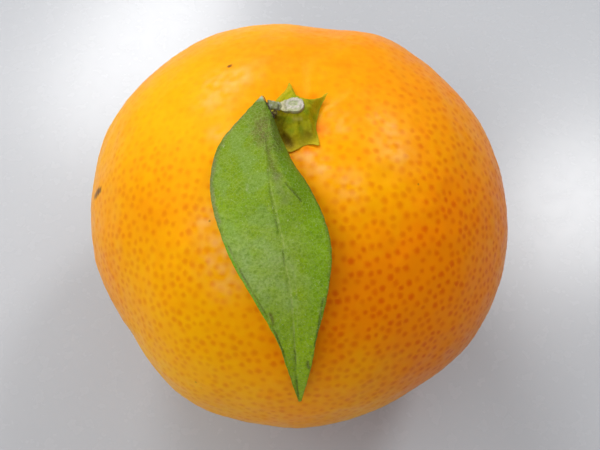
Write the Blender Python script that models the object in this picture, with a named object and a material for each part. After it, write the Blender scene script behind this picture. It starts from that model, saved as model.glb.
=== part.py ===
"""A mandarin with its calyx, a cut stub of twig and one leaf, as separate closed solids.

The fruit stands on the flat ring round its blossom end. The origin is the middle of that
ring, +Z runs up the core to the stem end, and the leaf hangs over the rind towards -Y.
Lengths are written in millimetres and turned into metres where the meshes are made.
"""

import math

import bmesh
import bpy
from mathutils import Vector

MM = 0.001

# The rind: a solid of revolution, flattened at both ends, with low swells round its girth.
EQUATOR_RADIUS = 30.0
HALF_HEIGHT = 25.28
FOOT_CUT = 0.45  # how much of the rounded base the flat foot takes off
PLAN_POWER = 2.1  # 2 would give an ellipse; more is squarer in the shoulders
STEM_DIMPLE_DEPTH = 1.3
STEM_DIMPLE_RADIUS = 6.0
FOOT_INNER_RADIUS = 3.6
BLOSSOM_DIMPLE_DEPTH = 0.9
SWELL_POWER = 1.5  # how fast a swell grows from the core axis out to the girth
# Each swell: azimuth from +X in degrees, height, half-width in degrees. Hollows are negative.
SWELLS = (
    (0, -0.03, 14),
    (20, 0.03, 14),
    (40, -0.21, 14),
    (60, 0.61, 14),
    (80, -1.23, 14),
    (100, -0.07, 14),
    (120, 0.54, 14),
    (140, 0.36, 14),
    (160, 0.48, 14),
    (180, -0.41, 14),
    (200, -0.55, 14),
    (220, -1.16, 14),
    (240, 0.31, 14),
    (260, -0.21, 14),
    (280, -0.11, 14),
    (300, -0.56, 14),
    (320, 0.28, 14),
    (340, 0.19, 14),
)

# The calyx: a domed button that ends in five pointed sepals, set just clear of the rind.
GAP = 0.3
CALYX_GAP = 0.35
CALYX_SEAT_RADIUS = 1.5
CALYX_THICKNESS = 1.3
SEPAL_TIP_THICKNESS = 0.45
SEPAL_VALLEY_RADIUS = 2.6
SEPAL_HALF_WIDTH = 27.0  # degrees
# Each sepal: azimuth in degrees, reach of its tip from the core axis.
SEPALS = ((38, 4.6), (101, 4.8), (190, 4.2), (262, 5.3), (300, 5.0))

# The stub of twig: an upright round end joined to a smaller knob on the leaf's side.
STUB_CENTRE = (-0.2, -0.38)
STUB_RADIUS = 1.0
STUB_HEIGHT = 1.0
KNOB_RADIUS = 0.73
KNOB_OFFSET = 0.97
KNOB_AZIMUTH = 182.0

# The petiole: a short flattened neck from the knob to the seam where the leaf bends over.
PETIOLE_START = (-2.2, -0.38, 50.95)
PETIOLE_END = (-2.8, -0.25, 51.3)
PETIOLE_START_HALVES = (0.75, 0.45)
PETIOLE_END_HALVES = (1.1, 0.4)
SEAM_DIRECTION = (1.55, -2.45, -0.8)

# The leaf blade: midrib, left edge and right edge at each station from the seam to the tip.
BLADE_THICKNESS = 0.6
BLADE_STATIONS = (
    ((-3.25, -0.55, 51.80), (-4.05, 0.65, 52.05), (-2.65, -1.80, 51.40)),
    ((-3.30, -3.70, 52.15), (-6.10, -2.20, 51.80), (-1.80, -4.30, 50.90)),
    ((-3.10, -7.40, 52.15), (-8.70, -5.70, 50.70), (-0.60, -7.20, 50.70)),
    ((-2.65, -11.40, 51.40), (-9.35, -9.90, 49.40), (1.25, -10.40, 50.40)),
    ((-2.10, -14.40, 50.00), (-8.60, -13.50, 48.80), (2.90, -13.90, 49.70)),
    ((-1.30, -18.00, 47.80), (-6.95, -17.70, 47.80), (3.72, -17.70, 48.30)),
    ((-0.30, -21.60, 45.10), (-4.35, -21.70, 45.50), (3.10, -21.80, 45.50)),
    ((-0.10, -24.60, 42.00), (-2.15, -24.70, 42.40), (2.15, -24.70, 42.40)),
    ((0.05, -26.80, 38.80), (-1.05, -26.90, 39.20), (1.60, -26.85, 39.10)),
    ((0.38, -29.05, 33.40), (0.20, -29.05, 33.45), (0.56, -29.05, 33.45)),
)
RIGHT_HALF_CROWN = 0.9  # how far the right half bows up where the blade bends off the stub

# How finely each solid is divided.
RIND_AROUND = 60
RIND_UPPER_RINGS = 16
RIND_LOWER_RINGS = 14
CALYX_AROUND = 50
STUB_AROUND = 24
PETIOLE_AROUND = 16
BLADE_ALONG = 22
BLADE_ACROSS = 4  # faces across each half


def remove_all_objects():
    for ob in list(bpy.data.objects):
        bpy.data.objects.remove(ob)


def material(name, colour, roughness):
    mat = bpy.data.materials.new(name)
    mat.use_nodes = True
    shader = mat.node_tree.nodes["Principled BSDF"]
    shader.inputs["Base Color"].default_value = (*colour, 1.0)
    shader.inputs["Roughness"].default_value = roughness
    shader.inputs["Metallic"].default_value = 0.0
    return mat


def finish_object(name, bm, mat):
    """Turns a bmesh in millimetres into a named, smooth-shaded object in metres."""
    bmesh.ops.recalc_face_normals(bm, faces=bm.faces)
    bmesh.ops.scale(bm, vec=Vector((MM, MM, MM)), verts=bm.verts)
    mesh = bpy.data.meshes.new(name)
    bm.to_mesh(mesh)
    bm.free()
    mesh.shade_smooth()
    mesh.set_sharp_from_angle(angle=math.radians(50))
    mesh.materials.append(mat)
    ob = bpy.data.objects.new(name, mesh)
    bpy.context.scene.collection.objects.link(ob)
    return ob


def skin_rings(rings):
    """A closed bmesh through rings of equal length; the first and last entries are single points."""
    bm = bmesh.new()
    start = bm.verts.new(rings[0])
    loops = [[bm.verts.new(p) for p in ring] for ring in rings[1:-1]]
    end = bm.verts.new(rings[-1])
    count = len(loops[0])
    for i in range(count):
        j = (i + 1) % count
        bm.faces.new((start, loops[0][i], loops[0][j]))
        bm.faces.new((end, loops[-1][j], loops[-1][i]))
        for upper, lower in zip(loops, loops[1:]):
            bm.faces.new((upper[i], lower[i], lower[j], upper[j]))
    return bm


def polar(radius, azimuth, z):
    angle = math.radians(azimuth)
    return Vector((radius * math.cos(angle), radius * math.sin(angle), z))


def azimuths(count):
    return [360.0 * i / count for i in range(count)]


def angle_between(a, b):
    return abs((a - b + 180.0) % 360.0 - 180.0)


def swell(azimuth):
    return sum(
        height * math.exp(-((angle_between(azimuth, centre) / width) ** 2))
        for centre, height, width in SWELLS
    )


def crown_height(radius):
    """Height of the unswollen rind over the foot, above its girth, at a distance from the axis."""
    rounded = (1.0 - (radius / EQUATOR_RADIUS) ** PLAN_POWER) ** (1.0 / PLAN_POWER)
    dimple = STEM_DIMPLE_DEPTH * math.exp(-((radius / STEM_DIMPLE_RADIUS) ** 2))
    return HALF_HEIGHT - FOOT_CUT + HALF_HEIGHT * rounded - dimple


def rind_ring(radius, z, upper):
    """One ring of the rind, moved in and out by the swells; above the girth they lift it as well."""
    middle = HALF_HEIGHT - FOOT_CUT
    ring = []
    for azimuth in azimuths(RIND_AROUND):
        growth = swell(azimuth) / EQUATOR_RADIUS * (radius / EQUATOR_RADIUS) ** SWELL_POWER
        lift = (z - middle) * growth if upper else 0.0
        ring.append(polar(radius * (1.0 + growth), azimuth, z + lift))
    return ring


def build_fruit():
    middle = HALF_HEIGHT - FOOT_CUT
    rings = [Vector((0.0, 0.0, crown_height(0.0)))]
    for i in range(1, RIND_UPPER_RINGS + 1):
        radius = EQUATOR_RADIUS * math.sin(math.pi / 2 * i / RIND_UPPER_RINGS) ** (2 / PLAN_POWER)
        radius = min(radius, EQUATOR_RADIUS)
        rings.append(rind_ring(radius, crown_height(radius), upper=True))
    # Below the girth the rings run down to the height where the flat foot cuts them off.
    foot_angle = math.acos((middle / HALF_HEIGHT) ** (PLAN_POWER / 2))
    for i in range(1, RIND_LOWER_RINGS + 1):
        angle = math.pi / 2 + (math.pi / 2 - foot_angle) * i / RIND_LOWER_RINGS
        radius = EQUATOR_RADIUS * math.sin(angle) ** (2 / PLAN_POWER)
        z = middle - HALF_HEIGHT * abs(math.cos(angle)) ** (2 / PLAN_POWER)
        rings.append(rind_ring(radius, 0.0 if i == RIND_LOWER_RINGS else z, upper=False))
    for share in (1.0, 0.75, 0.45):
        z = BLOSSOM_DIMPLE_DEPTH * (1.0 - share**2) ** 2
        rings.append([polar(FOOT_INNER_RADIUS * share, a, z) for a in azimuths(RIND_AROUND)])
    rings.append(Vector((0.0, 0.0, BLOSSOM_DIMPLE_DEPTH)))
    return finish_object("fruit", skin_rings(rings), material("rind", (0.95, 0.36, 0.01), 0.42))


def sepal_reach(azimuth):
    """Distance of the calyx's outline from the core axis: concave valleys between pointed tips."""
    reach = SEPAL_VALLEY_RADIUS
    for centre, tip in SEPALS:
        share = max(0.0, 1.0 - angle_between(azimuth, centre) / SEPAL_HALF_WIDTH)
        reach = max(reach, SEPAL_VALLEY_RADIUS + (tip - SEPAL_VALLEY_RADIUS) * share**1.5)
    return reach


def calyx_thickness(radius):
    """Full under the stub, then thinning to the sepals' tips."""
    if radius <= CALYX_SEAT_RADIUS:
        return CALYX_THICKNESS
    share = min((radius - CALYX_SEAT_RADIUS) / (SEPAL_VALLEY_RADIUS - CALYX_SEAT_RADIUS), 1.0)
    eased = share * share * (3.0 - 2.0 * share)
    return CALYX_THICKNESS + (SEPAL_TIP_THICKNESS - CALYX_THICKNESS) * eased


def calyx_ring(share, top):
    ring = []
    for azimuth in azimuths(CALYX_AROUND):
        radius = sepal_reach(azimuth) * share
        z = crown_height(radius) + CALYX_GAP
        ring.append(polar(radius, azimuth, z + (calyx_thickness(radius) if top else 0.0)))
    return ring


def build_calyx():
    base = crown_height(0.0) + CALYX_GAP
    rings = [Vector((0.0, 0.0, base + CALYX_THICKNESS))]
    rings += [calyx_ring(share, top=True) for share in (0.3, 0.55, 0.7, 0.85, 1.0)]
    rings += [calyx_ring(share, top=False) for share in (1.0, 0.7, 0.35)]
    rings.append(Vector((0.0, 0.0, base)))
    return finish_object("calyx", skin_rings(rings), material("calyx", (0.30, 0.33, 0.02), 0.6))


def stub_reach(azimuth):
    """The twig's outline in plan: a round end with the knob standing out of one side."""
    turn = math.radians(angle_between(azimuth, KNOB_AZIMUTH))
    aside = KNOB_OFFSET * math.sin(turn)
    if math.cos(turn) <= 0.0 or abs(aside) >= KNOB_RADIUS:
        return STUB_RADIUS
    return max(STUB_RADIUS, KNOB_OFFSET * math.cos(turn) + math.sqrt(KNOB_RADIUS**2 - aside**2))


def build_stem_stub():
    centre = Vector((*STUB_CENTRE, crown_height(0.0) + CALYX_GAP + CALYX_THICKNESS + GAP))
    rings = [centre.copy()]
    for share, rise in ((0.9, 0.0), (1.0, 0.15), (1.0, 0.8), (0.85, 1.0)):
        rings.append(
            [
                centre + polar(stub_reach(a) * share, a, STUB_HEIGHT * rise)
                for a in azimuths(STUB_AROUND)
            ]
        )
    rings.append(centre + Vector((0.0, 0.0, STUB_HEIGHT)))
    return finish_object("stem_stub", skin_rings(rings), material("stub", (0.55, 0.50, 0.38), 0.8))


def build_petiole():
    start, end = Vector(PETIOLE_START), Vector(PETIOLE_END)
    seam = Vector(SEAM_DIRECTION).normalized()
    rings = [start]
    for share in (0.0, 0.5, 1.0):
        wide = Vector((0.0, -1.0, 0.0)).lerp(seam, share).normalized()
        thin = wide.cross(Vector((-1.0, 0.0, 0.0))).normalized()
        halves = Vector(PETIOLE_START_HALVES).lerp(Vector(PETIOLE_END_HALVES), share)
        middle = start.lerp(end, share)
        ring = []
        for azimuth in azimuths(PETIOLE_AROUND):
            angle = math.radians(azimuth)
            across = wide * halves[0] * math.cos(angle)
            ring.append(middle + across + thin * halves[1] * math.sin(angle))
        rings.append(ring)
    rings.append(end)
    colour = (0.30, 0.30, 0.16)
    return finish_object("petiole", skin_rings(rings), material("petiole", colour, 0.7))


def smooth_point(points, place):
    """A point on the Catmull-Rom curve through points, at a place counted in stations."""
    last = len(points) - 1
    i = min(int(place), last - 1)
    t = place - i
    before, a, b, after = (Vector(points[max(0, min(last, i + k))]) for k in (-1, 0, 1, 2))
    return 0.5 * (
        2 * a
        + (b - before) * t
        + (2 * before - 5 * a + 4 * b - after) * t**2
        + (3 * a - before - 3 * b + after) * t**3
    )


def blade_point(place, across):
    """A point on the blade's middle surface; across runs from -1, left edge, to 1, right edge."""
    midrib, left, right = (
        smooth_point([station[k] for station in BLADE_STATIONS], place) for k in range(3)
    )
    point = midrib.lerp(left if across < 0 else right, abs(across))
    if across > 0:
        fade = math.exp(-(((place - 2.5) / 1.6) ** 2))
        point.z += RIGHT_HALF_CROWN * fade * 4 * across * (1 - across)
    return point


def blade_side(offset):
    """The grid of points of one face of the blade, moved off the middle surface by offset."""
    last = len(BLADE_STATIONS) - 1
    step = 0.02
    grid = []
    for i in range(BLADE_ALONG + 1):
        place = last * i / BLADE_ALONG
        row = []
        for j in range(-BLADE_ACROSS, BLADE_ACROSS + 1):
            across = j / BLADE_ACROSS
            back = max(place - step, 0.0)
            ahead = min(place + step, last)
            along = blade_point(ahead, across) - blade_point(back, across)
            low, high = max(across - step, -1.0), min(across + step, 1.0)
            aside = blade_point(place, high) - blade_point(place, low)
            normal = aside.cross(along).normalized()
            normal = normal if normal.z > 0 else -normal
            row.append(blade_point(place, across) + normal * offset)
        grid.append(row)
    return grid


def build_leaf_blade():
    bm = bmesh.new()
    top, bottom = (
        [[bm.verts.new(p) for p in row] for row in blade_side(offset)]
        for offset in (BLADE_THICKNESS / 2, -BLADE_THICKNESS / 2)
    )
    for grid in (top, bottom):
        for row, following in zip(grid, grid[1:]):
            for j in range(len(row) - 1):
                bm.faces.new((row[j], row[j + 1], following[j + 1], following[j]))
    for j in range(len(top[0]) - 1):
        for i in (0, -1):
            bm.faces.new((top[i][j], top[i][j + 1], bottom[i][j + 1], bottom[i][j]))
    for i in range(len(top) - 1):
        for j in (0, -1):
            bm.faces.new((top[i][j], top[i + 1][j], bottom[i + 1][j], bottom[i][j]))
    return finish_object("leaf_blade", bm, material("leaf", (0.16, 0.33, 0.03), 0.45))


def main():
    remove_all_objects()
    build_fruit()
    build_calyx()
    build_stem_stub()
    build_petiole()
    build_leaf_blade()


main()
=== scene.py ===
"""The looks of a mandarin with its calyx, a cut stub of twig and one leaf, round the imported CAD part.

Shapes are worked out with numpy in millimetres, in the part's own frame: the origin under the
fruit, +Z up its core to the stem end, the leaf hanging over the rind towards -Y. They become
metres where the meshes are made. The fruit's and the leaf's design values repeat those of the CAD.
"""

import math

import bpy
import numpy as np
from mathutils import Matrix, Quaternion, Vector, kdtree, noise


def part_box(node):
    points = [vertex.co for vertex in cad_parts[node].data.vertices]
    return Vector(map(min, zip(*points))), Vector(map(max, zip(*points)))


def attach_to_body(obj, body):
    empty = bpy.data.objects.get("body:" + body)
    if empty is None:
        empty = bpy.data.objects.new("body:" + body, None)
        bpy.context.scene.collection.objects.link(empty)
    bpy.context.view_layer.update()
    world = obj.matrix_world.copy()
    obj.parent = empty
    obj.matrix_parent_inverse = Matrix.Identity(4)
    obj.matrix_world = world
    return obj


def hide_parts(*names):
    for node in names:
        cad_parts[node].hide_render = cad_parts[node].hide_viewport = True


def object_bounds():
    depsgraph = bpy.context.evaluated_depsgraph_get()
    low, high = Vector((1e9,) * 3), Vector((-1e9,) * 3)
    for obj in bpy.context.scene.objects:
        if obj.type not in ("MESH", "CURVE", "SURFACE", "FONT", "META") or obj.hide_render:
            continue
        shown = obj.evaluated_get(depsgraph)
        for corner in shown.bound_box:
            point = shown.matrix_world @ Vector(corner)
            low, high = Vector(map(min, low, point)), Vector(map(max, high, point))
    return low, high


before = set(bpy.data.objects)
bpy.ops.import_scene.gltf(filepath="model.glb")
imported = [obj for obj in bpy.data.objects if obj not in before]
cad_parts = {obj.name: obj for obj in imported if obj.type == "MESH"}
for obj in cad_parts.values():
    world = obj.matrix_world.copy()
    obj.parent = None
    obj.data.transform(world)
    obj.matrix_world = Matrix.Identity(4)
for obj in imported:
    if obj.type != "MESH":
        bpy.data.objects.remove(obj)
cad_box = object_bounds()

MM = 0.001

# The rind, as the CAD has it.
EQUATOR_RADIUS = 30.0
HALF_HEIGHT = 25.28
FOOT_CUT = 0.45
PLAN_POWER = 2.1
STEM_DIMPLE_DEPTH = 1.3
STEM_DIMPLE_RADIUS = 6.0
FOOT_INNER_RADIUS = 3.6
BLOSSOM_DIMPLE_DEPTH = 0.9
FOOT_SOFTNESS = 0.12
SWELL_POWER = 1.5
# Its swells stand at even steps round the girth from +X. Hollows have negative heights.
SWELL_STEP = 20  # degrees
SWELL_HALF_WIDTH = 14  # degrees
SWELL_HEIGHTS = (
    -0.03, 0.03, -0.21, 0.61, -1.23, -0.07, 0.54, 0.36, 0.48,
    -0.41, -0.55, -1.16, 0.31, -0.21, -0.11, -0.56, 0.28, 0.19,
)

# The rind's finer shape.
RIND_PATCH_FACES = 128  # faces along each side of the six patches of the rind's mesh
FURROW_AZIMUTHS = (22, 68, 116, 158, 205, 246, 288, 322)  # shallow furrows running off the calyx
FURROW_DEPTH = 0.16
FURROW_HALF_WIDTH = 6.5  # degrees
GLAND_DARTS = 60000
GLAND_SPACING = (0.84, 1.07)
GLAND_RADIUS = (0.32, 0.52)
PIT_DEPTH = 0.03
# Marks on the rind: azimuth in degrees, distance from the axis, radius, how dark it is.
RIND_SPECKS = (
    (134.9, 11.85, 0.32, 0.85),
    (-173.9, 26.80, 0.45, 0.75),
    (-173.6, 26.40, 0.58, 0.90),
    (-173.3, 25.95, 0.58, 0.90),
    (-172.9, 25.60, 0.42, 0.75),
    (-127.3, 15.8, 0.13, 0.55),
    (-114.5, 29.1, 0.15, 0.40),
    (-113.1, 29.3, 0.12, 0.35),
    (-29.6, 15.9, 0.13, 0.50),
    (44.0, 24.0, 0.16, 0.40),
    (95.0, 27.5, 0.22, 0.40),
)
# Where the upper rind is riper, or less ripe: x, y, reach, change. The two patches at the calyx's front
# edge are painted shade, a deeper orange where shadow falls beside the calyx.
RIPE_AND_SHADE_PATCHES = (
    (14.5, -18.5, 10.0, 0.58),
    (25.0, -6.0, 9.0, 0.28),
    (4.0, -22.0, 6.0, 0.35),
    (9.0, -9.0, 6.0, -0.40),
    (-14.0, -24.0, 8.0, -0.28),
    (-21.0, -9.0, 8.0, 0.28),
    (-14.5, -2.5, 5.0, -0.25),
    (-17.0, 6.0, 7.0, -0.22),
    (-2.0, -27.0, 5.0, 0.15),
    (8.5, -27.5, 5.0, -0.40),
    (6.0, 12.0, 12.0, 0.15),
    # painted shade: deeper orange where the calyx's shadow falls on the rind, here and in the next patch
    (2.7, -1.8, 0.8, 0.90),
    (1.2, -5.0, 0.7, 0.60),
    (2.0, 2.6, 0.9, 0.35),
)
# Painted highlights: mottled pale patches of sheen on the upper rind. x, y, reach, strength.
PAINTED_HIGHLIGHT_PATCHES = (
    (-9.0, 5.2, 2.0, 0.50),
    (-7.0, 6.3, 1.4, 0.50),
    (-10.2, 2.8, 1.6, 0.30),
    (-9.2, -2.4, 0.9, 0.45),
    (-10.1, -12.5, 1.3, 0.40),
    (-8.4, -15.8, 1.9, 0.48),
    (-7.6, -18.3, 1.5, 0.38),
    (9.5, -0.1, 1.1, 0.30),
    (11.0, -1.4, 1.4, 0.42),
    (11.4, -4.2, 1.7, 0.36),
    (3.5, 0.6, 0.9, 0.38),
    (4.8, -1.2, 1.6, 0.25),
    (1.2, -6.0, 1.3, 0.45),
    (2.6, -7.2, 1.3, 0.45),
    (5.6, -9.0, 1.8, 0.25),
)

# The calyx: each sepal's azimuth in degrees, the reach of its tip and how far that stands off the rind.
CALYX_THICKNESS = 1.65
SEPALS = ((39, 4.7, 0.66), (100, 4.8, 0.24), (190, 4.2, 0.10), (262, 5.35, 0.10), (300, 5.0, 0.12))
CREASE_AZIMUTHS = (18, 70, 145, 225, 281, 342)
# Its outline round the core axis: azimuth in degrees and distance from the axis.
CALYX_OUTLINE = (
    (38.5, 4.70), (41.0, 3.75), (43.5, 3.05), (49.0, 2.50), (62.0, 2.12), (79.0, 2.35), (91.0, 3.05),
    (96.5, 3.95), (100.5, 4.85), (105.5, 4.30), (113.0, 3.85), (126.0, 3.55), (142.0, 3.30),
    (160.0, 3.05), (178.0, 3.45), (190.0, 4.20), (202.0, 3.50), (216.0, 3.50), (233.0, 4.05),
    (246.0, 4.75), (256.0, 5.15), (262.5, 5.32), (271.0, 4.85), (279.0, 4.50), (287.0, 4.38),
    (294.0, 4.58),
    (300.0, 5.02), (304.5, 4.50), (311.0, 3.65), (323.0, 2.80), (342.0, 2.46), (364.0, 2.55),
    (381.0, 2.90), (390.0, 3.50), (394.8, 4.12),
)

# Spots on the calyx: place, size, strength. The ripe ones are orange, and the stains are brown, but for
# the last one, which is painted shade under the petiole's neck.
CALYX_RIPE_SPOTS = (
    ((3.1, 2.3, 50.2), 0.75, 0.70),
    ((2.35, 0.75, 50.0), 0.70, 0.60),
    ((1.9, 1.5, 50.2), 0.45, 0.40),
)
CALYX_STAINS_AND_SHADE = (
    ((-1.40, -3.2, 49.7), 0.45, 0.80),
    ((-1.05, -3.85, 49.6), 0.58, 1.00),
    ((-0.60, -4.30, 49.5), 0.38, 0.75),
    ((1.35, -3.2, 50.0), 0.65, 0.60),
    ((1.95, -2.4, 50.1), 0.45, 0.35),
    ((2.3, -0.9, 49.9), 0.35, 0.40),
    ((3.55, 2.75, 50.3), 0.30, 0.35),
    ((0.8, 1.3, 50.3), 0.4, 0.50),
    # painted shade under the petiole's neck
    ((-2.5, -0.9, 50.2), 0.60, 0.85),
)

# The stub of twig, with its knob a little larger than the CAD's.
STUB_CENTRE = (-0.2, -0.38)
STUB_RADIUS = 1.0
KNOB_RADIUS = 0.82
KNOB_OFFSET = 0.94
KNOB_AZIMUTH = 187.0

# The leaf blade, as the CAD has it but for its cut end: midrib, left edge and right edge by station.
BLADE_STATIONS = (
    ((-3.34, -0.62, 51.80), (-3.93, 0.60, 52.05), (-2.72, -1.92, 51.42)),
    ((-3.30, -3.70, 52.15), (-6.10, -2.20, 51.80), (-1.80, -4.30, 50.90)),
    ((-3.10, -7.40, 52.15), (-8.70, -5.70, 50.70), (-0.60, -7.20, 50.70)),
    ((-2.65, -11.40, 51.40), (-9.35, -9.90, 49.40), (1.25, -10.40, 50.40)),
    ((-2.10, -14.40, 50.00), (-8.60, -13.50, 48.80), (2.90, -13.90, 49.70)),
    ((-1.30, -18.00, 47.80), (-6.95, -17.70, 47.80), (3.72, -17.70, 48.30)),
    ((-0.30, -21.60, 45.10), (-4.35, -21.70, 45.50), (3.10, -21.80, 45.50)),
    ((-0.10, -24.60, 42.00), (-2.15, -24.70, 42.40), (2.15, -24.70, 42.40)),
    ((0.05, -26.80, 38.80), (-1.05, -26.90, 39.20), (1.60, -26.85, 39.10)),
    ((0.38, -29.05, 33.40), (0.20, -29.05, 33.45), (0.56, -29.05, 33.45)),
)
RIGHT_HALF_CROWN = 0.9
BLADE_ALONG = 260
BLADE_ACROSS = 60  # faces across each half
BLADE_HALF_THICKNESS = 0.16

# The camera: where it aims from the middle of the part's box, how far off and how steeply.
AIM_OFFSET = (0.215, 0.17, -3.535)
CAMERA_DISTANCE = 97.94
CAMERA_ELEVATION = 61.25
CAMERA_FIELD = 50.0  # degrees across

# Soft white lights: name, azimuth, elevation, distance, length and width in mm, roll, watts.
LIGHTS = (
    ("key", 111, 39, 595, 270, 120, 28, 1.42),
    ("back_right", 45, 47, 515, 130, 130, 0, 0.87),
    ("wide_back_left", 150, 40, 700, 500, 500, 0, 1.25),
    ("wide_back_right", 60, 45, 700, 500, 500, 0, 0.30),
    ("wide_left", 200, 45, 700, 500, 500, 0, 1.60),
    ("wide_front_left", 250, 45, 700, 500, 500, 0, 1.08),
    ("wide_front_right", 310, 45, 700, 500, 500, 0, 0.42),
    ("overhead", 90, 85, 700, 500, 500, 0, 0.15),
)
WORLD_STRENGTH = 0.15


# ---------------- small helpers


def smooth(low, high, value):
    """0 below low, 1 above high, and a smooth step between; low may be above high."""
    share = np.clip((value - low) / (high - low), 0.0, 1.0)
    return share * share * (3.0 - 2.0 * share)


def bell(value, width):
    return np.exp(-((value / width) ** 2))


def near_in_plan(points, x, y, reach):
    """1 above or below a place, fading out over about reach mm round it."""
    return bell(np.hypot(points[:, 0] - x, points[:, 1] - y), reach)


def turn_between(a, b):
    """The angle between two azimuths in degrees, without sign."""
    return np.abs((a - b + 180.0) % 360.0 - 180.0)


def polar(points):
    """Each point's distance from the axis, and its azimuth in degrees."""
    x, y = points[:, 0], points[:, 1]
    return np.hypot(x, y), np.degrees(np.arctan2(y, x))


def noise_at(points, size, seed=0.0):
    """Smooth noise between about -1 and 1 at each point, with features about size mm across."""
    offset = Vector((seed, seed * 1.7, seed * 0.3))
    return np.array([noise.noise(Vector(p) / size + offset) for p in points.tolist()]) * 1.6


def normalised(vectors):
    return vectors / np.linalg.norm(vectors, axis=-1, keepdims=True)


def distance_to_path(points, path):
    """Distance in mm from each point to a polyline; a path of one point is a spot."""
    path = np.asarray(path, float)
    if len(path) == 1:
        return np.linalg.norm(points - path[0], axis=-1)
    best = np.full(points.shape[:-1], np.inf)
    for start, end in zip(path, path[1:]):
        along = end - start
        share = np.clip(((points - start) @ along) / (along @ along), 0.0, 1.0)
        nearest = start + share[..., None] * along
        best = np.minimum(best, np.linalg.norm(points - nearest, axis=-1))
    return best


def smooth_curve(points, places):
    """Points on the Catmull-Rom curve through points, at places counted in stations."""
    points = np.asarray(points, float)
    last = len(points) - 1
    index = np.minimum(places.astype(int), last - 1)
    t = (places - index)[:, None]
    before, a, b, after = (points[np.clip(index + k, 0, last)] for k in (-1, 0, 1, 2))
    return 0.5 * (
        2 * a
        + (b - before) * t
        + (2 * before - 5 * a + 4 * b - after) * t**2
        + (3 * a - before - 3 * b + after) * t**3
    )


class Coat:
    """The colours of a piece's points, painted layer by layer."""

    def __init__(self, points, colour):
        self.points = points
        self.colours = np.tile(np.array(colour), (len(points), 1))

    def paint(self, target, mask):
        """Moves the colours towards a target colour by a mask from 0 to 1."""
        self.colours += (np.array(target) - self.colours) * mask[..., None]

    def line(self, target, path, width, strength):
        """Paints a soft line along a path."""
        self.paint(target, strength * bell(distance_to_path(self.points, path), width))

    def spots(self, target, spots):
        """Paints soft round spots, each given by its place, its size and its strength."""
        for place, size, strength in spots:
            self.line(target, [place], size, strength)


def make_object(name, points, faces, mat):
    """A smooth mesh object from points in mm and lists of corners."""
    mesh = bpy.data.meshes.new(name)
    mesh.from_pydata((np.asarray(points) * MM).tolist(), [], [list(face) for face in faces])
    mesh.shade_smooth()
    mesh.materials.append(mat)
    ob = bpy.data.objects.new(name, mesh)
    bpy.context.scene.collection.objects.link(ob)
    return ob


def store(ob, name, values, domain="POINT"):
    """Writes one value, vector or colour per point or face as a named attribute."""
    values = np.asarray(values, np.float32)
    if values.ndim == 1:
        ob.data.attributes.new(name, "FLOAT", domain).data.foreach_set("value", values)
    else:
        made = ob.data.attributes.new(name, "FLOAT_VECTOR", domain)
        made.data.foreach_set("vector", values.ravel())


def attach(ob, node=None):
    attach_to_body(ob, "root")
    if node:
        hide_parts(node)


def end_caps(rows, columns):
    """One polygon over the first row of a closed grid and one over its last row."""
    last = (rows - 1) * columns
    return [range(columns - 1, -1, -1), range(last, last + columns)]


def grid_faces(rows, columns, start=0, closed=False, flip=False):
    """Quads over a grid of points stored row by row; closed joins the last column to the first."""
    faces = []
    for i in range(rows - 1):
        for j in range(columns if closed else columns - 1):
            k = (j + 1) % columns
            a, b = start + i * columns + j, start + i * columns + k
            c, d = b + columns, a + columns
            faces.append((a, d, c, b) if flip else (a, b, c, d))
    return faces


# ---------------- node materials


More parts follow.
